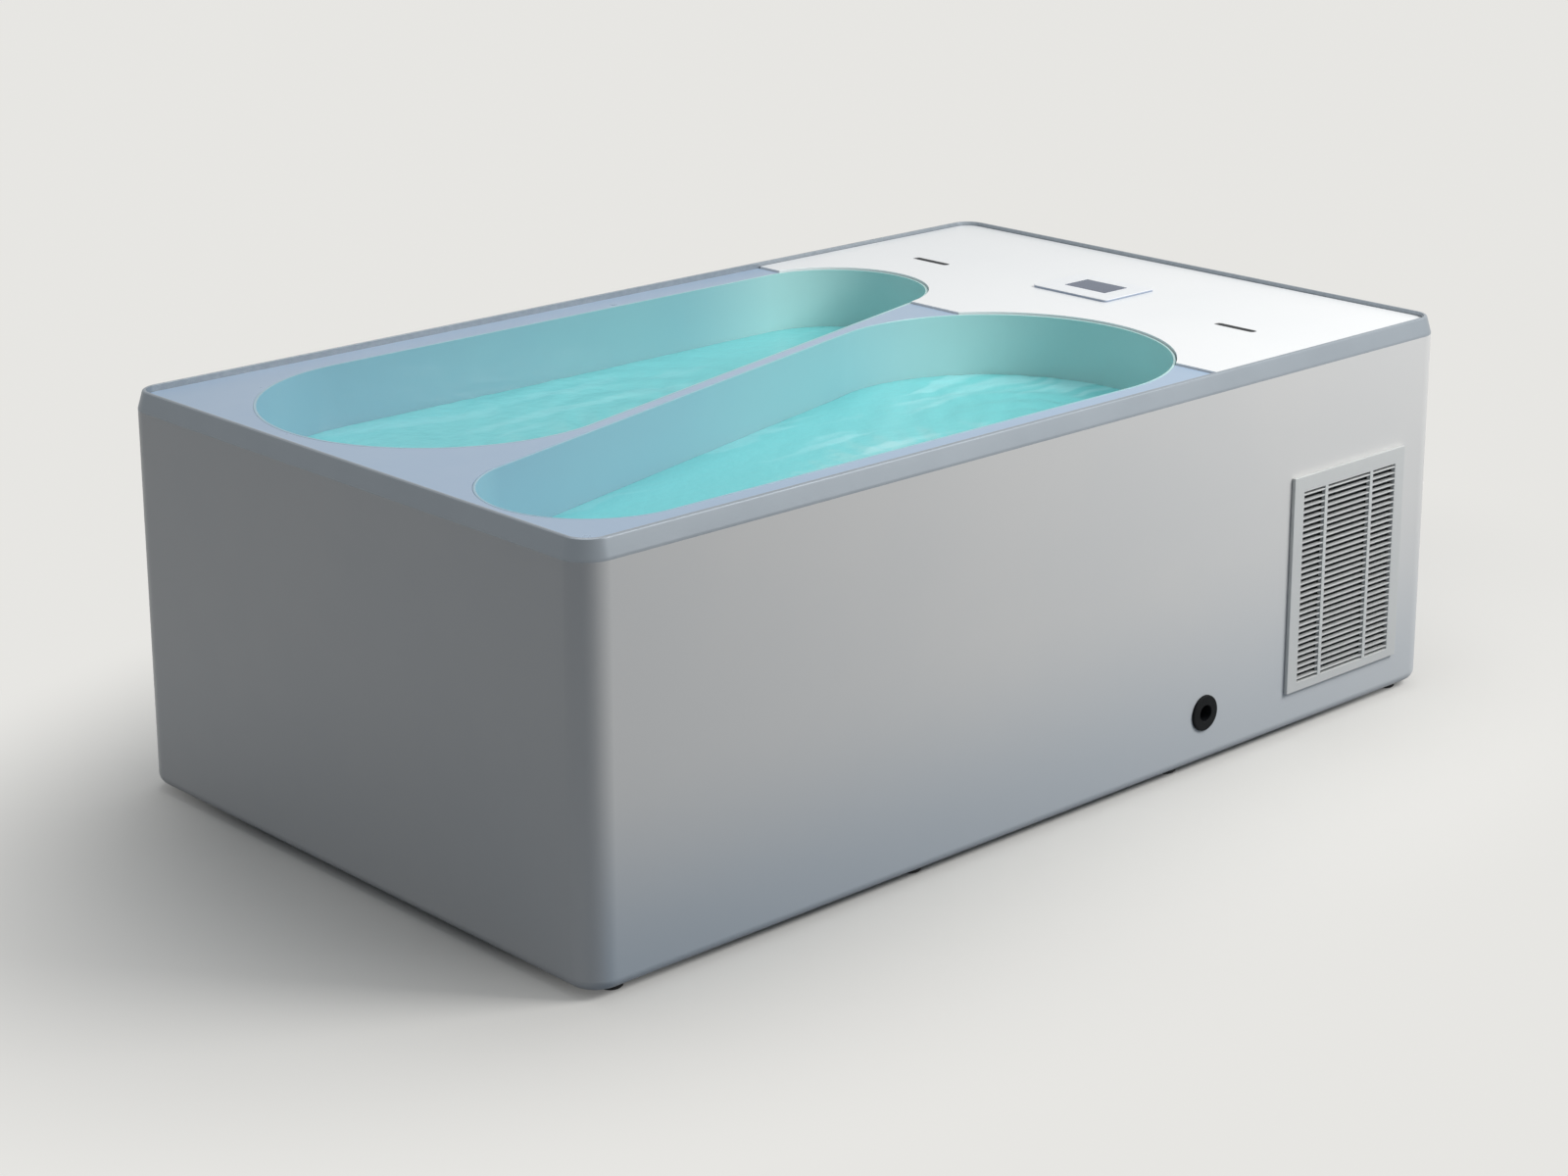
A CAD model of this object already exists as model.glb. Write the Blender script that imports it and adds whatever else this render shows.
import math

import bmesh
import bpy
from mathutils import Matrix, Quaternion, Vector, noise


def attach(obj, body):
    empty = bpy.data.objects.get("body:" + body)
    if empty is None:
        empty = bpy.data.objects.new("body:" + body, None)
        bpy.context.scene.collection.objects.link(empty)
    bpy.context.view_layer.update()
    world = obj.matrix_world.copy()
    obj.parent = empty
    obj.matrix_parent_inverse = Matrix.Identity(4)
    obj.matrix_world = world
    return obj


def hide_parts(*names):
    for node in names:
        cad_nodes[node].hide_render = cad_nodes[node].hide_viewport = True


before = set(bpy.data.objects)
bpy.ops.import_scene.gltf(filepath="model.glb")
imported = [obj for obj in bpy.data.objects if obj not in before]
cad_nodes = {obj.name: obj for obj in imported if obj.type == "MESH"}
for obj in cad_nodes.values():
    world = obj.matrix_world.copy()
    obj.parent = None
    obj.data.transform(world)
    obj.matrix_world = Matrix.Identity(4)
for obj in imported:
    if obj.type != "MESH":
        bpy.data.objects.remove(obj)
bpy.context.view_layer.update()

# Camera
# A long lens off the front corner of the bathing end, a little above the tub, so that the
# whole top, the end wall and the long front are in view.
aim = Vector((0.514, 0.633, 0.385))
view_turn = math.radians(-42.951)
view_rise = math.radians(15.466)
view_roll = math.radians(-0.158)
stand_off = 6.921
away = Vector((math.sin(view_turn) * math.cos(view_rise),
               -math.cos(view_turn) * math.cos(view_rise), math.sin(view_rise)))
camera_data = bpy.data.cameras.new("camera")
camera_data.lens = 73.171
camera_data.sensor_width = 36
camera_data.shift_y = -0.1
camera_data.clip_end = 200
camera = bpy.data.objects.new("camera", camera_data)
camera.location = aim + away * stand_off
camera.rotation_mode = "QUATERNION"
camera.rotation_quaternion = away.to_track_quat("Z", "Y") @ Quaternion((0, 0, 1), view_roll)
bpy.context.scene.collection.objects.link(camera)
bpy.context.scene.camera = camera
bpy.context.scene.view_settings.view_transform = "Standard"


# Studio
# A plain pale floor that runs out into an even pale backdrop, a large soft lamp to the right
# of the camera, a weaker one overhead, and weak daylight from all round.
def new_material(name):
    """A node material, its node tree and its shader"""
    material = bpy.data.materials.new(name)
    material.use_nodes = True
    tree = material.node_tree
    return material, tree, tree.nodes["Principled BSDF"]


def put_node(tree, kind, inputs=None, **settings):
    """A new node with its settings; each of its inputs is given a value or a socket to follow"""
    node = tree.nodes.new("ShaderNode" + kind)
    for name, value in settings.items():
        setattr(node, name, value)
    for name, value in (inputs or {}).items():
        if isinstance(value, bpy.types.NodeSocket):
            tree.links.new(value, node.inputs[name])
        else:
            node.inputs[name].default_value = value
    return node


def multiplied(tree, first, second, use_clamp=False):
    """The product of two sockets"""
    return put_node(tree, "Math", operation="MULTIPLY", use_clamp=use_clamp,
                    inputs={0: first, 1: second}).outputs[0]


def ramped(tree, value, start, end, low=0.0, high=1.0, curve="SMOOTHSTEP"):
    """A socket's value between start and end, carried over to low and high"""
    ramp = put_node(tree, "MapRange", interpolation_type=curve, inputs={
        "Value": value, "From Min": start, "From Max": end, "To Min": low, "To Max": high})
    return ramp.outputs["Result"]


def blended(tree, share, first, second):
    """Two tones, each a socket or a fixed colour, mixed by a share of the second"""
    # A Mix node has its colours in the sockets with these numbers
    return put_node(tree, "Mix", data_type="RGBA", inputs={0: share, 6: first, 7: second}).outputs[2]


def seen_itself(tree):
    """1 where the camera, a reflection or a clear piece sees a surface, 0 where it only lights"""
    ray = put_node(tree, "LightPath")
    mask = ray.outputs["Is Camera Ray"]
    for kind in ("Is Glossy Ray", "Is Transmission Ray"):
        either = put_node(tree, "Math", operation="MAXIMUM", inputs={0: mask, 1: ray.outputs[kind]})
        mask = either.outputs[0]
    return mask


def send_mixed(tree, share, first, second, output):
    """Mixes two shaders by a share of the second and sends them to the output"""
    both = put_node(tree, "MixShader", inputs={0: share, 1: first.outputs[0], 2: second.outputs[0]})
    tree.links.new(both.outputs[0], tree.nodes[output].inputs["Surface"])


backdrop_colour = (0.80, 0.793, 0.768, 1)
floor_colour = (0.75, 0.743, 0.72, 1)
floor_bounce = (0.07, 0.10, 0.14, 1)
floor_half = 40.0
even_from, even_to = 0.72, 1.45
even_stretch = (0.62, 1.0, 1.0)

floor_bm = bmesh.new()
bmesh.ops.create_grid(floor_bm, x_segments=1, y_segments=1, size=floor_half)
floor_mesh = bpy.data.meshes.new("floor")
floor_bm.to_mesh(floor_mesh)
floor_bm.free()
floor = bpy.data.objects.new("floor", floor_mesh)
bpy.context.scene.collection.objects.link(floor)

# Near the tub the floor takes shadows, and throws back less light than it seems to. Further out,
# in an oval round the tub, it turns into the backdrop.
floor_material, tree, shader = new_material("studio_floor")
shader.inputs["Roughness"].default_value = 0.9
shader.inputs["Specular IOR Level"].default_value = 0.1
seen = seen_itself(tree)
tree.links.new(blended(tree, seen, floor_bounce, floor_colour), shader.inputs["Base Color"])
place = put_node(tree, "TexCoord")
oval = put_node(tree, "Mapping", inputs={"Vector": place.outputs["Object"], "Scale": even_stretch})
reach = put_node(tree, "VectorMath", operation="LENGTH", inputs={0: oval.outputs["Vector"]})
even = multiplied(tree, ramped(tree, reach.outputs["Value"], even_from, even_to), seen)
glow = put_node(tree, "Emission", inputs={"Color": backdrop_colour, "Strength": 1.0})
send_mixed(tree, even, shader, glow, "Material Output")
floor_mesh.materials.append(floor_material)

daylight = (0.92, 0.96, 1.0, 1)
daylight_strength = 0.31
world = bpy.data.worlds.new("studio")
world.use_nodes = True
bpy.context.scene.world = world
tree = world.node_tree
sky = tree.nodes["Background"]
sky.inputs["Color"].default_value = daylight
sky.inputs["Strength"].default_value = daylight_strength
backdrop = put_node(tree, "Background", inputs={"Color": backdrop_colour, "Strength": 1.0})
send_mixed(tree, seen_itself(tree), sky, backdrop, "World Output")

lamp_aim = Vector((0, 0, 0.5))
for name, spot, size, power, tint in (
        ("key_lamp", (2.0, -3.1, 3.0), 2.0, 151, (1.0, 0.985, 0.965)),
        ("top_lamp", (-0.2, 0.5, 4.2), 2.5, 42, (0.97, 0.985, 1.0))):
    lamp_data = bpy.data.lights.new(name, "AREA")
    lamp_data.size = size
    lamp_data.energy = power
    lamp_data.color = tint
    lamp = bpy.data.objects.new(name, lamp_data)
    lamp.location = spot
    lamp.rotation_mode = "QUATERNION"
    lamp.rotation_quaternion = (Vector(spot) - lamp_aim).to_track_quat("Z", "Y")
    bpy.context.scene.collection.objects.link(lamp)


# Cabinet skin
# One wrap of smooth grey moulding with rounded upright corners and a rounded bottom edge, turned
# in underneath as a flange. It has a window for the grille and holes for pins, drain and mains.
length, width, height = 2.2, 1.3, 0.77
corner_r = 0.055
skin_t = 0.004
foot_r = 0.022
pad_h = 0.012
rim_z = 0.734
flange_in = 0.064
arc_step = math.radians(4)
weld_reach = 2e-5
level_reach = 1e-5
edge_angle = 50


def rounded_loop(half_x, half_y, r, middle_x=0.0):
    """The four corner circles of a rounded rectangle"""
    return [(middle_x + side_x * (half_x - r), side_y * (half_y - r), r)
            for side_x, side_y in ((-1, -1), (1, -1), (1, 1), (-1, 1))]


def side_angles(circles):
    """Which way each straight side of a loop of circles faces"""
    angles = []
    for i, (x, y, r) in enumerate(circles):
        x2, y2, r2 = circles[(i + 1) % len(circles)]
        angles.append(math.atan2(y2 - y, x2 - x) - math.acos((r - r2) / math.hypot(x2 - x, y2 - y)))
    return angles


def verts_in(geom):
    """The vertices in a list of mesh parts"""
    return [part for part in geom if isinstance(part, bmesh.types.BMVert)]


def run_loop(bm, circles, geom, carry):
    """Carries what is drawn at the start of the first side once round a loop of circles"""
    angles = side_angles(circles)
    for i, (x, y, r) in enumerate(circles):
        following = (i + 1) % len(circles)
        x2, y2, r2 = circles[following]
        here, there = Vector((x, y, 0)), Vector((x2, y2, 0))
        facing = Vector((math.cos(angles[i]), math.sin(angles[i]), 0))
        geom = carry(geom, (there + facing * r2) - (here + facing * r))
        turn = (angles[following] - angles[i]) % math.tau
        geom = bmesh.ops.spin(bm, geom=geom, cent=there, axis=(0, 0, 1), angle=turn,
                              steps=max(2, round(turn / arc_step)), use_merge=False)["geom_last"]
    bmesh.ops.remove_doubles(bm, verts=bm.verts, dist=weld_reach)


def outline_face(bm, circles, z, grow):
    """Flat face inside a loop of circles"""
    loop = [(x, y, r + grow) for x, y, r in circles]
    angle = side_angles(loop)[0]
    x, y, r = loop[0]
    first = bm.verts.new((x + r * math.cos(angle), y + r * math.sin(angle), z))

    def carry(geom, side):
        moved = bmesh.ops.extrude_vert_indiv(bm, verts=verts_in(geom))["verts"]
        bmesh.ops.translate(bm, verts=moved, vec=side)
        return moved

    run_loop(bm, loop, [first], carry)
    edges = [e for e in bm.edges if not e.link_faces]
    return bmesh.ops.contextual_create(bm, geom=edges)["faces"][0]


def loop_block(circles, low, high, grow=0.0, foot=0.0, foot_steps=8):
    """Solid inside a loop of circles, with its lower edge rounded if foot is given"""
    bm = bmesh.new()
    face = outline_face(bm, circles, low, grow)
    top = bmesh.ops.extrude_face_region(bm, geom=[face])
    bmesh.ops.translate(bm, verts=verts_in(top["geom"]), vec=(0, 0, high - low))
    bmesh.ops.recalc_face_normals(bm, faces=bm.faces)
    if foot:
        lower = [e for e in bm.edges if all(abs(v.co.z - low) < level_reach for v in e.verts)]
        bmesh.ops.bevel(bm, geom=lower, offset=foot, segments=foot_steps, profile=0.5,
                        affect="EDGES", material=-1)
    return bm


def open_top(bm, z):
    """Takes off the face at height z"""
    top = [f for f in bm.faces if all(abs(v.co.z - z) < level_reach for v in f.verts)]
    bmesh.ops.delete(bm, geom=top, context="FACES_ONLY")


def add_box(bm, low, high):
    """A box between two corners"""
    made = bmesh.ops.create_cube(bm, size=1)
    middle = [(a + b) / 2 for a, b in zip(low, high)]
    bmesh.ops.scale(bm, verts=made["verts"], vec=[b - a for a, b in zip(low, high)])
    bmesh.ops.translate(bm, verts=made["verts"], vec=middle)


def add_rod(bm, start, end, radius, steps=48):
    """A closed rod from one point to another"""
    start, end = Vector(start), Vector(end)
    made = bmesh.ops.create_cone(bm, cap_ends=True, segments=steps, radius1=radius, radius2=radius,
                                 depth=(end - start).length)
    spin = (end - start).to_track_quat("Z", "Y").to_matrix().to_4x4()
    bmesh.ops.transform(bm, matrix=Matrix.Translation((start + end) / 2) @ spin, verts=made["verts"])


def as_object(name, bm):
    """The mesh as an object in the scene"""
    mesh = bpy.data.meshes.new(name)
    bm.to_mesh(mesh)
    bm.free()
    piece = bpy.data.objects.new(name, mesh)
    bpy.context.scene.collection.objects.link(piece)
    return piece


def settle(piece):
    """Applies the piece's modifiers"""
    graph = bpy.context.evaluated_depsgraph_get()
    mesh = bpy.data.meshes.new_from_object(piece.evaluated_get(graph))
    piece.modifiers.clear()
    piece.data = mesh


def thicken(piece, thickness):
    """Gives an open skin a wall of this thickness behind its faces"""
    wall = piece.modifiers.new("wall", "SOLIDIFY")
    wall.thickness = thickness
    wall.offset = -1
    wall.use_even_offset = True
    settle(piece)


def carve(piece, bm):
    """Cuts the solids in bm out of the piece"""
    tool = as_object("carving_tool", bm)
    cut = piece.modifiers.new("carve", "BOOLEAN")
    cut.operation = "DIFFERENCE"
    cut.solver = "EXACT"
    cut.object = tool
    settle(piece)
    bpy.data.objects.remove(tool)


def carve_box(piece, low, high):
    """Cuts the box between two corners out of the piece"""
    box = bmesh.new()
    add_box(box, low, high)
    carve(piece, box)


def shade(piece, angle=40):
    """Smooth shading that keeps sharp edges and flat faces as they are"""
    bm = bmesh.new()
    bm.from_mesh(piece.data)
    for face in bm.faces:
        face.smooth = True
    for edge in bm.edges:
        edge.smooth = len(edge.link_faces) == 2 and edge.calc_face_angle(math.pi) < math.radians(angle)
    bm.to_mesh(piece.data)
    bm.free()
    weighted = piece.modifiers.new("flat_faces", "WEIGHTED_NORMAL")
    weighted.keep_sharp = True


def soften(piece, radius, steps=2):
    """Rounds the sharp edges a little and shades the piece"""
    bevel = piece.modifiers.new("soft_edges", "BEVEL")
    bevel.width = radius
    bevel.segments = steps
    bevel.limit_method = "ANGLE"
    bevel.angle_limit = math.radians(edge_angle)
    bevel.harden_normals = False
    settle(piece)
    shade(piece)


def fit(piece, body, slot, material, *nodes):
    """Fixes a piece to its body in place of the named nodes, with its slot and material"""
    piece.data.materials.clear()
    piece.data.materials.append(material)
    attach(piece, body)
    if nodes:
        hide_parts(*nodes)


def shader_group(name, inputs, outputs):
    """A node group with named inputs and outputs, its entry and its exit"""
    group = bpy.data.node_groups.new(name, "ShaderNodeTree")
    for label, kind, value in inputs:
        socket = group.interface.new_socket(label, in_out="INPUT", socket_type="NodeSocket" + kind)
        socket.default_value = value
    for label, kind in outputs:
        group.interface.new_socket(label, in_out="OUTPUT", socket_type="NodeSocket" + kind)
    return group, group.nodes.new("NodeGroupInput"), group.nodes.new("NodeGroupOutput")


# Moulded or painted surface: broad patches of a second tone, uneven gloss and a fine peel
moulded, given, result = shader_group(
    "moulded_surface",
    [("Tone", "Color", (0.5, 0.5, 0.5, 1)), ("Second Tone", "Color", (0.4, 0.4, 0.4, 1)),
     ("Patch Scale", "Float", 3.0), ("Patch Amount", "Float", 0.5), ("Gloss", "Float", 0.4),
     ("Gloss Spread", "Float", 0.1), ("Peel Scale", "Float", 400.0)],
    [("Tone", "Color"), ("Roughness", "Float"), ("Height", "Float")])
where = put_node(moulded, "TexCoord").outputs["Object"]
patches = put_node(moulded, "TexNoise", inputs={
    "Vector": where, "Scale": given.outputs["Patch Scale"], "Detail": 4.0, "Roughness": 0.55})
smears = put_node(moulded, "TexNoise", inputs={
    "Vector": where, "Scale": 14.0, "Detail": 6.0, "Roughness": 0.65})
peel = put_node(moulded, "TexNoise", inputs={
    "Vector": where, "Scale": given.outputs["Peel Scale"], "Detail": 2.0, "Roughness": 0.5})
patch_mask = ramped(moulded, patches.outputs["Fac"], 0.35, 0.68)
patch_share = multiplied(moulded, patch_mask, given.outputs["Patch Amount"])
patched = blended(moulded, patch_share, given.outputs["Tone"], given.outputs["Second Tone"])
smear_middle = put_node(moulded, "Math", operation="SUBTRACT", inputs={0: smears.outputs["Fac"], 1: 0.5})
smear_share = put_node(moulded, "Math", operation="MULTIPLY_ADD", inputs={
    0: smear_middle.outputs[0], 1: given.outputs["Gloss Spread"], 2: given.outputs["Gloss"]})
moulded.links.new(patched, result.inputs["Tone"])
moulded.links.new(smear_share.outputs[0], result.inputs["Roughness"])
moulded.links.new(peel.outputs["Fac"], result.inputs["Height"])

# Rubbed edge: a mask that is strong along outer edges and broken up by wear
rubbed, given, result = shader_group(
    "rubbed_edge", [("Amount", "Float", 1.0), ("Grain", "Float", 60.0)], [("Mask", "Float")])
shape = put_node(rubbed, "NewGeometry")
where = put_node(rubbed, "TexCoord").outputs["Object"]
grain = put_node(rubbed, "TexNoise", inputs={
    "Vector": where, "Scale": given.outputs["Grain"], "Detail": 5.0, "Roughness": 0.7})
edge_line = ramped(rubbed, shape.outputs["Pointiness"], 0.53, 0.60, curve="LINEAR")
broken = ramped(rubbed, grain.outputs["Fac"], 0.42, 0.62, curve="LINEAR")
worn = multiplied(rubbed, edge_line, broken, use_clamp=True)
worn_share = multiplied(rubbed, worn, given.outputs["Amount"], use_clamp=True)
rubbed.links.new(worn_share, result.inputs["Mask"])

coat_roughness = 0.08
peel_depth = 0.002


def moulded_material(name, tone, second, gloss, patch_scale=3.0, patch_amount=0.5, gloss_spread=0.12,
                     peel_scale=400.0, peel=0.04, metallic=0.0, wear=0.0, wear_tone=None, coat=0.0,
                     specular=0.5):
    """A moulded or painted finish with its own tones, gloss, peel and edge wear"""
    material, tree, shader = new_material(name)
    surface = put_node(tree, "Group", node_tree=moulded, inputs={
        "Tone": (*tone, 1), "Second Tone": (*second, 1), "Patch Scale": patch_scale,
        "Patch Amount": patch_amount, "Gloss": gloss, "Gloss Spread": gloss_spread,
        "Peel Scale": peel_scale})
    tree.links.new(surface.outputs["Roughness"], shader.inputs["Roughness"])
    shader.inputs["Metallic"].default_value = metallic
    shader.inputs["Specular IOR Level"].default_value = specular
    shader.inputs["Coat Weight"].default_value = coat
    shader.inputs["Coat Roughness"].default_value = coat_roughness
    relief = put_node(tree, "Bump", inputs={
        "Strength": peel, "Distance": peel_depth, "Height": surface.outputs["Height"]})
    tree.links.new(relief.outputs["Normal"], shader.inputs["Normal"])
    colour = surface.outputs["Tone"]
    if wear:
        edge = put_node(tree, "Group", node_tree=rubbed, inputs={"Amount": wear})
        colour = blended(tree, edge.outputs["Mask"], colour, (*wear_tone, 1))
    tree.links.new(colour, shader.inputs["Base Color"])
    return material


def coordinates(material):
    """Sockets that give the place on the piece along X, Y and Z"""
    tree = material.node_tree
    place = put_node(tree, "TexCoord")
    return put_node(tree, "SeparateXYZ", inputs={0: place.outputs["Object"]}).outputs


def lay_tone(material, share, tone):
    """Lays a tone over a material's base colour by a share that may vary"""
    tree = material.node_tree
    base = tree.nodes["Principled BSDF"].inputs["Base Color"]
    tree.links.new(blended(tree, share, base.links[0].from_socket, (*tone, 1)), base)


corners = rounded_loop(length / 2, width / 2, corner_r)
skin_bm = loop_block(corners, pad_h, rim_z, foot=foot_r)
open_top(skin_bm, rim_z)
cabinet_skin = as_object("cabinet_skin", skin_bm)
thicken(cabinet_skin, skin_t)

grille_low, grille_high = Vector((0.64, 0, 0.09)), Vector((0.985, 0, 0.525))
louvre_low, louvre_high = Vector((0.67, 0, 0.108)), Vector((0.955, 0, 0.493))
grille_h = 0.435
window_gap = 0.003
pin_inset, pin_hole_r, pin_steps = 0.012, 0.006, 24
pin_places = [(x, z) for x in (grille_low.x + pin_inset, grille_high.x - pin_inset)
              for z in (grille_low.z + grille_h / 4, grille_low.z + grille_h * 3 / 4)]
port_x, port_z, port_hole_r = 0.4, 0.113, 0.026
inlet_y, inlet_z = 0.48, 0.113
inlet_w, inlet_h = 0.048, 0.03
through = 0.01
holes = bmesh.new()
add_box(holes, (-length / 2 + flange_in, -width / 2 + flange_in, 0),
        (length / 2 - flange_in, width / 2 - flange_in, 2 * pad_h + skin_t))
add_box(holes, (louvre_low.x - window_gap, -width / 2 - through, louvre_low.z - window_gap),
        (louvre_high.x + window_gap, -width / 2 + through, louvre_high.z + window_gap))
for x, z in pin_places:
    add_rod(holes, (x, -width / 2 - through, z), (x, -width / 2 + through, z), pin_hole_r, pin_steps)
add_rod(holes, (port_x, -width / 2 - through, port_z), (port_x, -width / 2 + through, port_z),
        port_hole_r)
add_box(holes, (length / 2 - through, inlet_y - inlet_w / 2, inlet_z - inlet_h / 2),
        (length / 2 + through, inlet_y + inlet_w / 2, inlet_z + inlet_h / 2))
carve(cabinet_skin, holes)
shade(cabinet_skin)
cabinet_material = moulded_material(
    "cabinet_grey_coat", (0.65, 0.648, 0.638), (0.62, 0.626, 0.625), gloss=0.42, patch_scale=1.7,
    patch_amount=0.7, peel_scale=520, peel=0.05, coat=0.12)
# The coat is a little cooler and deeper in tone towards the foot, most of all at the bathing
# end, but not on the end face
tree = cabinet_material.node_tree
place = coordinates(cabinet_material)
low_down = ramped(tree, place["Z"], start=0.42, end=0.0)
far_along = ramped(tree, place["X"], start=length / 2, end=-length / 2, low=0.48, curve="LINEAR")
off_end = ramped(tree, place["X"], start=-1.098, end=-1.055)
cool_share = multiplied(tree, multiplied(tree, low_down, far_along), off_end)
lay_tone(cabinet_material, cool_share, (0.40, 0.46, 0.52))
fit(cabinet_skin, "cabinet", "cabinet_grey", cabinet_material, "cabinet_shell")


# Rim
# A grey band that caps the skin all round: it leans in towards a narrow rounded top, and a
# skirt hangs from it inside the skin to carry the ledge.
rim_lean, rim_w, rim_skirt = 0.009, 0.016, 0.024
rim_step = 0.003
skirt_gap = 0.0003


def swept_section(name, circles, section):
    """A closed section carried round a loop of circles; its x runs inwards from the loop"""
    bm = bmesh.new()
    angle = side_angles(circles)[0]
    facing = Vector((math.cos(angle), math.sin(angle), 0))
    start = Vector((*circles[0][:2], 0)) + facing * circles[0][2]
    ring = [bm.verts.new(start - facing * x + Vector((0, 0, z))) for x, z in section]
    edges = [bm.edges.new((a, b)) for a, b in zip(ring, ring[1:] + ring[:1])]

    def carry(geom, side):
        ring_edges = [part for part in geom if isinstance(part, bmesh.types.BMEdge)]
        made = bmesh.ops.extrude_edge_only(bm, edges=ring_edges)["geom"]
        moved = verts_in(made)
        bmesh.ops.translate(bm, verts=moved, vec=side)
        return moved + [part for part in made if isinstance(part, bmesh.types.BMEdge)
                        and all(v in moved for v in part.verts)]

    run_loop(bm, circles, ring + edges, carry)
    bmesh.ops.recalc_face_normals(bm, faces=bm.faces)
    return as_object(name, bm)


rim_section = [
    (0, rim_z), (0, rim_z + rim_step), (0.0008, rim_z + rim_step + 0.0025),
    (rim_lean - 0.0006, height - 0.004), (rim_lean + 0.0004, height - 0.0016),
    (rim_lean + 0.0022, height - 0.0003), (rim_lean + 0.0034, height), (rim_w - 0.0016, height),
    (rim_w - 0.0004, height - 0.0004), (rim_w, height - 0.0014), (rim_w, rim_z - rim_skirt),
    (skin_t + skirt_gap, rim_z - rim_skirt), (skin_t + skirt_gap, rim_z)]
rim_band = swept_section("rim_band", corners, rim_section)
shade(rim_band, angle=30)
rim_material = moulded_material(
    "rim_grey_metal", (0.31, 0.35, 0.39), (0.28, 0.32, 0.36), gloss=0.38, patch_scale=5,
    patch_amount=0.5, peel_scale=900, peel=0.02, metallic=0.35, wear=0.35, wear_tone=(0.62, 0.66, 0.70))
fit(rim_band, "cabinet", "rim_grey", rim_material, "rim_trim")


# Bathing deck
# A pale lavender sheet of glossy acrylic inside the rim, cut out round both basins, with small
# rounded edges at the cut-outs.
deck_z, ledge_z = 0.758, 0.744
seat = 0.0002
basin_t = 0.005
basin_floor = 0.135
cove_r = 0.06
wide_r, narrow_r = 0.332099, 0.192
rear_loop = [(-0.6969, 0.235901, wide_r), (0.412, 0.376, narrow_r)]
front_loop = [(-0.852, -0.376, narrow_r), (0.256901, -0.235901, wide_r)]
lid_x = 0.443
cut_over = 0.02

deck = as_object("deck_sheet", loop_block(corners, ledge_z, deck_z, grow=-rim_w - seat))
for loop in (rear_loop, front_loop):
    carve(deck, loop_block(loop, ledge_z - cut_over, deck_z + cut_over, grow=basin_t + seat))
carve_box(deck, (lid_x, -width / 2, ledge_z - cut_over), (length / 2, width / 2, deck_z + cut_over))
soften(deck, radius=0.001)
deck_material = moulded_material(
    "deck_lavender_acrylic", (0.36, 0.475, 0.62), (0.335, 0.455, 0.605), gloss=0.30, patch_scale=2.4,
    patch_amount=0.6, gloss_spread=0.14, peel_scale=160, peel=0.03, specular=0.28)
fit(deck, "cabinet", "deck_pale", deck_material, "deck")


# Basins
# Two teardrop tubs of blue green acrylic, laid head to tail. Each has an upright wall, a wide
# cove down to a flat floor, and a rounded lip that stands level with the deck.
cove_steps = 12
drain_hole_r = 0.0252
fitting_hole_r, fitting_reach = 0.0242, 0.012
fitting_heights = (0.3, 0.47)


def tub(name, loop, drain, fittings):
    """A basin with its wall and lip, and the holes for its drain and its two fittings"""
    bm = loop_block(loop, basin_floor, deck_z, foot=cove_r, foot_steps=cove_steps)
    open_top(bm, deck_z)
    bmesh.ops.reverse_faces(bm, faces=bm.faces)
    piece = as_object(name, bm)
    thicken(piece, basin_t)
    holes = bmesh.new()
    add_rod(holes, (*drain, basin_floor - 2 * basin_t), (*drain, basin_floor + basin_t), drain_hole_r)
    x, y = fittings
    for z in fitting_heights:
        add_rod(holes, (x - fitting_reach, y, z), (x + fitting_reach, y, z), fitting_hole_r)
    carve(piece, holes)
    soften(piece, radius=0.002, steps=3)
    return piece


basin_material = moulded_material(
    "basin_blue_green_acrylic", (0.29, 0.535, 0.575), (0.265, 0.495, 0.555), gloss=0.30, patch_scale=2.0,
    patch_amount=0.8, gloss_spread=0.12, peel_scale=120, peel=0.02, coat=0.15)
# The liner is nearer to the lavender of the deck at the bathing end, and paler at the other
place = coordinates(basin_material)
for start, end, share, tint in ((0.2, -1.1, 0.7, (0.30, 0.45, 0.58)), (0.1, 0.55, 0.9, (0.50, 0.76, 0.74))):
    lay_tone(basin_material, ramped(basin_material.node_tree, place["X"], start, end, high=share), tint)

rear_basin = tub("rear_basin", rear_loop, drain=(0.46, 0.376), fittings=(0.604, 0.376))
fit(rear_basin, "cabinet", "basin_liner", basin_material, "basin_rear")
front_basin = tub("front_basin", front_loop, drain=(0.42295, -0.235901), fittings=(0.589, -0.235901))
fit(front_basin, "cabinet", "basin_liner", basin_material, "basin_front")


# Water
# Still turquoise water fills both basins to 123 mm below the deck. The surface carries low
# ripples, which run together near the wide end of the front basin.
water_z = 0.635
water_gap = 0.0006
water_spare = 0.05
ripple_step = 0.009
sheet_over, sheet_h = 0.02, 0.2
stir_reach = 0.42
ring_pitch, ring_share = 0.085, 0.5
chop_pitch, chop_share, chop_run = 0.062, 0.5, (0.8, -0.6)
bend_reach = 0.05
stirred_h, swell_h = 0.0016, 0.0012


def ripple(x, y, stir):
    """How far the water stands above its level at a point: rings and chop near the stirred
    place, both bent a little, and a low swell all over"""
    def drift(scale, layer):
        return noise.noise(Vector((x * scale, y * scale, layer)))

    away_from = math.hypot(x - stir[0], y - stir[1])
    near = math.exp(-(away_from / stir_reach) ** 2)
    bent = drift(scale=5, layer=0.3) * bend_reach
    along = chop_run[0] * x + chop_run[1] * y + bent
    rings = math.sin(math.tau * (away_from + bent) / ring_pitch) * ring_share
    chop = math.sin(math.tau * along / chop_pitch) * (chop_share + drift(scale=9, layer=7))
    return stirred_h * near * (rings + chop) + swell_h * drift(scale=4, layer=2)


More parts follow.
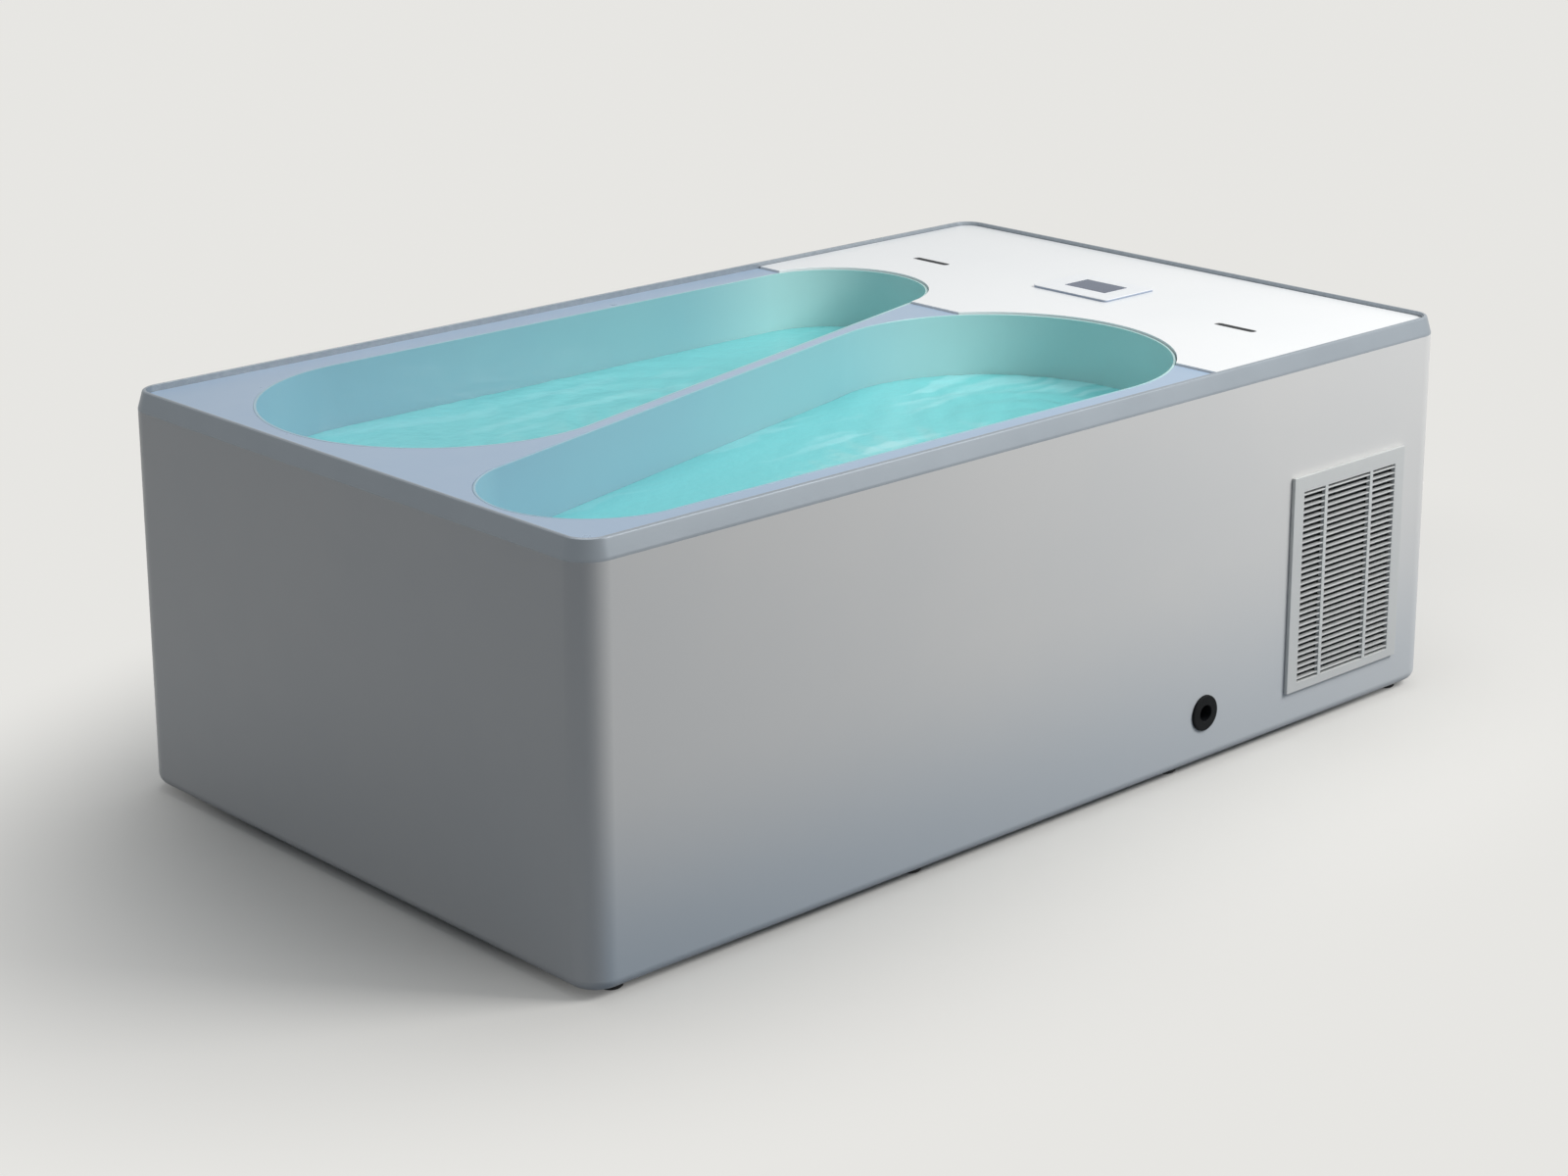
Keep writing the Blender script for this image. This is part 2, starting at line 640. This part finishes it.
def water_body(name, loop, stir):
    """Water inside a basin with a rippled surface; stir is the middle of the ripples"""
    piece = as_object(name, loop_block(loop, basin_floor + water_gap, water_z + water_spare,
                                       grow=-water_gap, foot=cove_r))
    low_x, high_x = min(x - r for x, y, r in loop), max(x + r for x, y, r in loop)
    low_y, high_y = min(y - r for x, y, r in loop), max(y + r for x, y, r in loop)
    size_x, size_y = high_x - low_x + 2 * sheet_over, high_y - low_y + 2 * sheet_over
    above = bmesh.new()
    sheet = bmesh.ops.create_grid(above, x_segments=round(size_x / ripple_step),
                                  y_segments=round(size_y / ripple_step), size=1)["verts"]
    bmesh.ops.scale(above, verts=sheet, vec=(size_x / 2, size_y / 2, 1))
    bmesh.ops.translate(above, verts=sheet, vec=((high_x + low_x) / 2, (high_y + low_y) / 2, water_z))
    for v in above.verts:
        v.co.z += ripple(v.co.x, v.co.y, stir)
    top = bmesh.ops.extrude_face_region(above, geom=above.faces[:])
    bmesh.ops.translate(above, verts=verts_in(top["geom"]), vec=(0, 0, sheet_h))
    bmesh.ops.recalc_face_normals(above, faces=above.faces)
    carve(piece, above)
    shade(piece, angle=50)
    return piece


# Bent bright streaks run across the surface, strongest near the stirred place, over a body
# that drifts between two tones, and a fine shiver breaks up its reflections.
water_material, tree, shader = new_material("turquoise_water")
where = put_node(tree, "TexCoord").outputs["Object"]
bend = put_node(tree, "TexNoise", inputs={"Vector": where, "Scale": 6.0, "Detail": 2.0})
shift = put_node(tree, "VectorMath", operation="MULTIPLY_ADD", inputs={
    0: bend.outputs["Color"], 1: (0.12, 0.12, 0.0), 2: where})
squeeze = put_node(tree, "Mapping", inputs={
    "Vector": shift.outputs[0], "Rotation": (0, 0, math.radians(-38)), "Scale": (3.2, 21.0, 1.0)})
streaks = put_node(tree, "TexNoise", inputs={
    "Vector": squeeze.outputs[0], "Scale": 1.0, "Detail": 1.5, "Roughness": 0.4})
bright_lines = ramped(tree, streaks.outputs["Fac"], 0.53, 0.69, high=0.65)
stirred = put_node(tree, "VectorMath", operation="DISTANCE", inputs={0: where, 1: (0.22, -0.33, 0.6)})
near_stir = ramped(tree, stirred.outputs["Value"], 0.80, 0.20, low=0.35)
glints = multiplied(tree, bright_lines, near_stir)
depth = put_node(tree, "TexNoise", inputs={"Vector": where, "Scale": 3.0, "Detail": 3.0})
body_tone = blended(tree, depth.outputs["Fac"], (0.195, 0.64, 0.655, 1), (0.225, 0.69, 0.71, 1))
tree.links.new(blended(tree, glints, body_tone, (0.42, 0.82, 0.85, 1)), shader.inputs["Base Color"])
shader.inputs["Roughness"].default_value = 0.06
shader.inputs["IOR"].default_value = 1.333
shiver = put_node(tree, "TexNoise", inputs={"Vector": where, "Scale": 38.0, "Detail": 3.0})
relief = put_node(tree, "Bump", inputs={
    "Strength": 0.12, "Distance": 0.01, "Height": shiver.outputs["Fac"]})
tree.links.new(relief.outputs["Normal"], shader.inputs["Normal"])

rear_water = water_body("rear_water", rear_loop, stir=(-0.2, 0.2))
fit(rear_water, "cabinet", "basin_liner", water_material)
front_water = water_body("front_water", front_loop, stir=(0.3, -0.3))
fit(front_water, "cabinet", "basin_liner", water_material)


# Equipment lid
# A white moulded lid, scalloped round the basin ends, that lies on a seal over the equipment
# bay. It has two hand slots and an opening for the display housing.
lid_z, lid_under = 0.762, 0.748
lid_gap = 0.002
slot_x, slot_y, slot_reach = 0.744, 0.416, 0.041
cup_r, cup_t, cup_depth = 0.009, 0.002, 0.03
control_x, display_shift = 0.795, 0.008
display_x, display_y, display_t = 0.07, 0.11, 0.003
display_mid = control_x + display_shift
housing_over = 1.5 * cup_r + seat


def slot_loop(side):
    """The two end circles of a hand slot"""
    return [(slot_x, side * slot_y - slot_reach, cup_r), (slot_x, side * slot_y + slot_reach, cup_r)]


def carve_at_display(piece, half_x, half_y, low_z):
    """Cuts a hole centred on the display, from a height up through the top"""
    carve_box(piece, (display_mid - half_x, -half_y, low_z),
              (display_mid + half_x, half_y, lid_z + cut_over))


lid = as_object("lid_moulding", loop_block(corners, lid_under, lid_z, grow=-rim_w - lid_gap))
for loop in (rear_loop, front_loop):
    carve(lid, loop_block(loop, lid_under - cut_over, lid_z + cut_over, grow=basin_t + lid_gap))
carve_box(lid, (-length, -width, lid_under - cut_over), (lid_x + lid_gap, width, lid_z + cut_over))
carve_at_display(lid, display_x / 2 + housing_over, display_y / 2 + housing_over, lid_under - cut_over)
for side in (-1, 1):
    carve(lid, loop_block(slot_loop(side), lid_under - cut_over, lid_z + cut_over, grow=seat))
soften(lid, radius=0.002, steps=3)
lid_material = moulded_material(
    "lid_white_moulding", (0.86, 0.875, 0.885), (0.83, 0.85, 0.865), gloss=0.34, patch_scale=2.2,
    patch_amount=0.6, peel_scale=300, peel=0.03, coat=0.1)
fit(lid, "equipment_lid", "lid_white", lid_material, "lid")


# Hand slots
# Two grey plastic cups let into the lid, deep enough for the fingertips that lift it.
slot_cups = as_object("hand_slots", bmesh.new())
for side in (-1, 1):
    cup_bm = loop_block(slot_loop(side), lid_z - cup_depth, lid_z)
    cup_bm.from_mesh(slot_cups.data)
    cup_bm.to_mesh(slot_cups.data)
    cup_bm.free()
for side in (-1, 1):
    carve(slot_cups, loop_block(slot_loop(side), lid_z - cup_depth + cup_t, lid_z + cut_over, grow=-cup_t))
soften(slot_cups, radius=0.0006)
cup_material = moulded_material(
    "cup_grey_plastic", (0.26, 0.265, 0.27), (0.22, 0.225, 0.23), gloss=0.5, patch_scale=20,
    peel_scale=1500, peel=0.12)
fit(slot_cups, "equipment_lid", "cup_grey", cup_material, "slot_cups")


# Control pad
# A raised white plate with rounded corners, and a dark glass display let into it.
pad_x, pad_y, pad_rise, pad_corner = 0.15, 0.2, 0.005, 0.008
band_rise, band_fade = 0.0036, 0.0006
glass_corner = 0.002
pad_loop = rounded_loop(pad_x / 2, pad_y / 2, pad_corner, control_x)
pad = as_object("control_plate", loop_block(pad_loop, lid_z, lid_z + pad_rise))
carve_at_display(pad, display_x / 2 + seat, display_y / 2 + seat, lid_z + pad_rise - display_t)
carve_at_display(pad, display_x / 4, display_y / 4, lid_z - cut_over)
soften(pad, radius=0.0012, steps=3)
pad_material = moulded_material(
    "pad_white_plastic", (0.83, 0.85, 0.87), (0.80, 0.825, 0.85), gloss=0.36, patch_scale=9,
    patch_amount=0.4, peel_scale=900, peel=0.06)
# Its edge is moulded in a blue grey, up to just under the top face
edge_band = ramped(pad_material.node_tree, coordinates(pad_material)["Z"], curve="LINEAR",
                   start=lid_z + band_rise + band_fade, end=lid_z + band_rise)
lay_tone(pad_material, edge_band, (0.30, 0.36, 0.46))
fit(pad, "equipment_lid", "pad_white", pad_material, "control_pad")

glass_loop = rounded_loop(display_x / 2, display_y / 2, glass_corner, display_mid)
glass = as_object("display_window", loop_block(glass_loop, lid_z + pad_rise - display_t, lid_z + pad_rise))
soften(glass, radius=0.0006)
glass_material = moulded_material(
    "display_dark_glass", (0.045, 0.075, 0.145), (0.035, 0.06, 0.12), gloss=0.16, patch_scale=12,
    patch_amount=0.5, gloss_spread=0.05, peel_scale=60, peel=0.01, specular=0.22)
fit(glass, "equipment_lid", "display_dark", glass_material, "display_glass")


# Vent grille
# A pressed frame that stands a little out of the cabinet, with level blades behind it, two
# upright bars, and four pins that push into rubber grommets.
grille_gap, grille_proud = 0.0003, 0.008
grille_y = -width / 2 - grille_gap
blade_pitch, blade_t, blade_depth, blade_tilt = 0.012, 0.003, 0.012, math.radians(-6)
blade_edge_r, blade_set_back = 0.0009, 0.0005
blade_y = grille_y - grille_proud / 4 + blade_set_back
tuck = 0.001
bar_w, bar_shares = 0.009, (0.24, 0.735)
pin_r, pin_deep = 0.004, 0.016

panel_bm = bmesh.new()
add_box(panel_bm, (grille_low.x, grille_y - grille_proud, grille_low.z),
        (grille_high.x, grille_y, grille_high.z))
grille = as_object("vent_grille_panel", panel_bm)
carve_box(grille, (louvre_low.x, grille_y - 2 * grille_proud, louvre_low.z),
          (louvre_high.x, grille_y + grille_proud, louvre_high.z))
soften(grille, radius=0.0012, steps=3)
grille.modifiers.clear()

louvre_w, louvre_h = louvre_high.x - louvre_low.x, louvre_high.z - louvre_low.z
blade_count = int(louvre_h / blade_pitch)
first_blade = louvre_low.z + (louvre_h - (blade_count - 1) * blade_pitch) / 2
blades_bm = bmesh.new()
add_box(blades_bm, (louvre_low.x - tuck, -blade_depth / 2, -blade_t / 2),
        (louvre_high.x + tuck, blade_depth / 2, blade_t / 2))
long_edges = [e for e in blades_bm.edges if e.calc_length() > louvre_w]
bmesh.ops.bevel(blades_bm, geom=long_edges, offset=blade_edge_r, segments=2, profile=0.5,
                affect="EDGES", material=-1)
bmesh.ops.rotate(blades_bm, verts=blades_bm.verts, cent=(0, 0, 0),
                 matrix=Matrix.Rotation(blade_tilt, 3, "X"))
bmesh.ops.translate(blades_bm, verts=blades_bm.verts, vec=(0, blade_y, first_blade))
last_blade = blades_bm.verts[:] + blades_bm.edges[:] + blades_bm.faces[:]
for _ in range(blade_count - 1):
    last_blade = bmesh.ops.duplicate(blades_bm, geom=last_blade)["geom"]
    bmesh.ops.translate(blades_bm, verts=verts_in(last_blade), vec=(0, 0, blade_pitch))
blade_mesh = bpy.data.meshes.new("blades")
blades_bm.to_mesh(blade_mesh)
blades_bm.free()

grille_bm = bmesh.new()
grille_bm.from_mesh(grille.data)
grille_bm.from_mesh(blade_mesh)
for share in bar_shares:
    bar_x = louvre_low.x + share * louvre_w
    add_box(grille_bm, (bar_x - bar_w / 2, grille_y - grille_proud, louvre_low.z - tuck),
            (bar_x + bar_w / 2, grille_y, louvre_high.z + tuck))
for x, z in pin_places:
    add_rod(grille_bm, (x, grille_y - tuck, z), (x, grille_y + pin_deep, z), pin_r, pin_steps)
grille_bm.to_mesh(grille.data)
grille_bm.free()
shade(grille)
louvre_material = moulded_material(
    "louvre_white_paint", (0.58, 0.595, 0.59), (0.55, 0.565, 0.565), gloss=0.42, patch_scale=8,
    patch_amount=0.5, peel_scale=1400, peel=0.06, wear=0.25, wear_tone=(0.75, 0.77, 0.77))
fit(grille, "vent_grille", "louvre_white", louvre_material, "grille_panel")


# Drain port
# A black flange with a neck through the front wall, and a bore for the drain hose.
port_r, port_bore, port_neck, port_rise, port_deep = 0.035, 0.016, 0.0258, 0.005, 0.03
port_steps = 64
port_bm = bmesh.new()
profile = [
    (port_bore, port_rise - 0.001), (port_bore + 0.001, port_rise), (port_r - 0.0035, port_rise),
    (port_r - 0.0015, port_rise - 0.0006), (port_r - 0.0004, port_rise - 0.0016),
    (port_r, port_rise - 0.0032), (port_r, 0), (port_neck, 0), (port_neck, -port_deep),
    (port_bore, -port_deep)]
ring = [port_bm.verts.new((port_x + r, -width / 2 - seat - rise, port_z)) for r, rise in profile]
ring_edges = [port_bm.edges.new((a, b)) for a, b in zip(ring, ring[1:] + ring[:1])]
bmesh.ops.spin(port_bm, geom=ring + ring_edges, cent=(port_x, 0, port_z), axis=(0, 1, 0), angle=math.tau,
               steps=port_steps, use_merge=True)
bmesh.ops.recalc_face_normals(port_bm, faces=port_bm.faces)
port = as_object("drain_port", port_bm)
shade(port)
port_material = moulded_material(
    "port_black_plastic", (0.004, 0.005, 0.006), (0.008, 0.009, 0.011), gloss=0.6, patch_scale=30,
    peel_scale=1600, peel=0.1, specular=0.12)
fit(port, "cabinet", "port_black", port_material, "drain_flange")


# Frame, pads and inner pieces
# What stands under the cabinet or works inside it: rubber feet, folded steel, foam, pipes, pump,
# filter, chiller and electrical boxes. Each keeps its own solid and gets its own finish.
def finish_nodes(nodes, *look, **finish):
    """Puts a new material on solids that keep their own shape"""
    material = moulded_material(*look, **finish)
    for node in nodes:
        mesh = cad_nodes[node].data
        mesh.materials.clear()
        mesh.materials.append(material)


finish_nodes(["support_pads", "lid_gasket", "grille_grommets", "drain_seal", "compressor_mounts"],
             "rubber_black", (0.028, 0.028, 0.030), (0.045, 0.045, 0.046), gloss=0.72,
             patch_scale=25, peel_scale=1200, peel=0.25, specular=0.3)
finish_nodes(["frame_rails", "frame_crossbars", "equipment_tray", "pump_cradle"],
             "frame_galvanised_steel", (0.42, 0.44, 0.45), (0.33, 0.35, 0.37), gloss=0.42,
             patch_scale=38, patch_amount=0.9, peel_scale=500, peel=0.08, metallic=0.7,
             wear=0.5, wear_tone=(0.6, 0.61, 0.62))
finish_nodes(["deck_ledge", "lid_post", "lid_battens"],
             "bare_aluminium", (0.60, 0.61, 0.63), (0.52, 0.53, 0.55), gloss=0.36,
             patch_scale=16, peel_scale=800, peel=0.06, metallic=0.85)
finish_nodes(["insulation_floor", "insulation_jacket"],
             "foam_cream", (0.74, 0.68, 0.46), (0.66, 0.58, 0.36), gloss=0.9,
             patch_scale=9, patch_amount=0.8, peel_scale=220, peel=0.8, specular=0.2)
finish_nodes(["floor_drains", "suction_fittings", "suction_covers", "return_fittings", "jet_nozzles",
              "pump_impeller"],
             "fitting_white", (0.76, 0.78, 0.79), (0.71, 0.73, 0.74), gloss=0.38,
             patch_scale=18, peel_scale=900, peel=0.06)
finish_nodes(["drain_strainers", "fan_shaft"],
             "strainer_steel", (0.62, 0.63, 0.64), (0.55, 0.56, 0.57), gloss=0.28,
             patch_scale=30, peel_scale=900, peel=0.05, metallic=1.0)
finish_nodes(["display_housing", "ozone_unit", "power_inlet", "filter_cap", "fan_rotor", "fan_shroud",
              "valve_body"],
             "dark_plastic", (0.06, 0.065, 0.07), (0.085, 0.09, 0.095), gloss=0.5,
             patch_scale=18, peel_scale=1500, peel=0.14)
finish_nodes(["display_board"],
             "board_green", (0.03, 0.20, 0.08), (0.02, 0.15, 0.06), gloss=0.35,
             patch_scale=60, peel_scale=700, peel=0.2)
finish_nodes(["dust_filter"],
             "filter_dark_mesh", (0.022, 0.024, 0.026), (0.04, 0.042, 0.045), gloss=0.85,
             patch_scale=40, peel_scale=700, peel=0.7, specular=0.2)
finish_nodes(["drain_pipes", "suction_pipes", "delivery_pipes", "return_pipes"],
             "pipe_grey_plastic", (0.26, 0.28, 0.30), (0.22, 0.24, 0.26), gloss=0.42,
             patch_scale=14, peel_scale=900, peel=0.05)
finish_nodes(["valve_ball"],
             "valve_brass", (0.72, 0.50, 0.18), (0.55, 0.36, 0.13), gloss=0.28,
             patch_scale=30, peel_scale=900, peel=0.05, metallic=1.0)
finish_nodes(["valve_lever"],
             "lever_red_coat", (0.52, 0.035, 0.025), (0.42, 0.03, 0.02), gloss=0.35,
             patch_scale=30, peel_scale=900, peel=0.1)
finish_nodes(["compressor", "pump_motor", "fan_motor"],
             "black_enamel", (0.018, 0.02, 0.022), (0.03, 0.032, 0.034), gloss=0.3,
             patch_scale=12, peel_scale=700, peel=0.08)
finish_nodes(["condenser"],
             "fin_aluminium", (0.58, 0.59, 0.60), (0.50, 0.51, 0.52), gloss=0.35,
             patch_scale=20, peel_scale=900, peel=0.05, metallic=0.9)
finish_nodes(["refrigerant_lines"],
             "copper_line", (0.72, 0.34, 0.19), (0.50, 0.23, 0.14), gloss=0.3,
             patch_scale=18, patch_amount=0.8, peel_scale=900, peel=0.04, metallic=1.0)
finish_nodes(["filter_housing", "heat_exchanger"],
             "housing_white", (0.74, 0.76, 0.78), (0.69, 0.71, 0.73), gloss=0.3,
             patch_scale=8, peel_scale=500, peel=0.05, coat=0.2)
finish_nodes(["filter_cartridge"],
             "filter_paper", (0.83, 0.84, 0.82), (0.76, 0.77, 0.74), gloss=0.9,
             patch_scale=30, peel_scale=600, peel=0.5)
finish_nodes(["pump_volute"],
             "pump_blue_enamel", (0.03, 0.13, 0.30), (0.025, 0.10, 0.24), gloss=0.35,
             patch_scale=14, peel_scale=700, peel=0.1)
finish_nodes(["control_box", "control_box_cover"],
             "box_grey_paint", (0.43, 0.45, 0.47), (0.39, 0.41, 0.43), gloss=0.45,
             patch_scale=10, peel_scale=1300, peel=0.12)
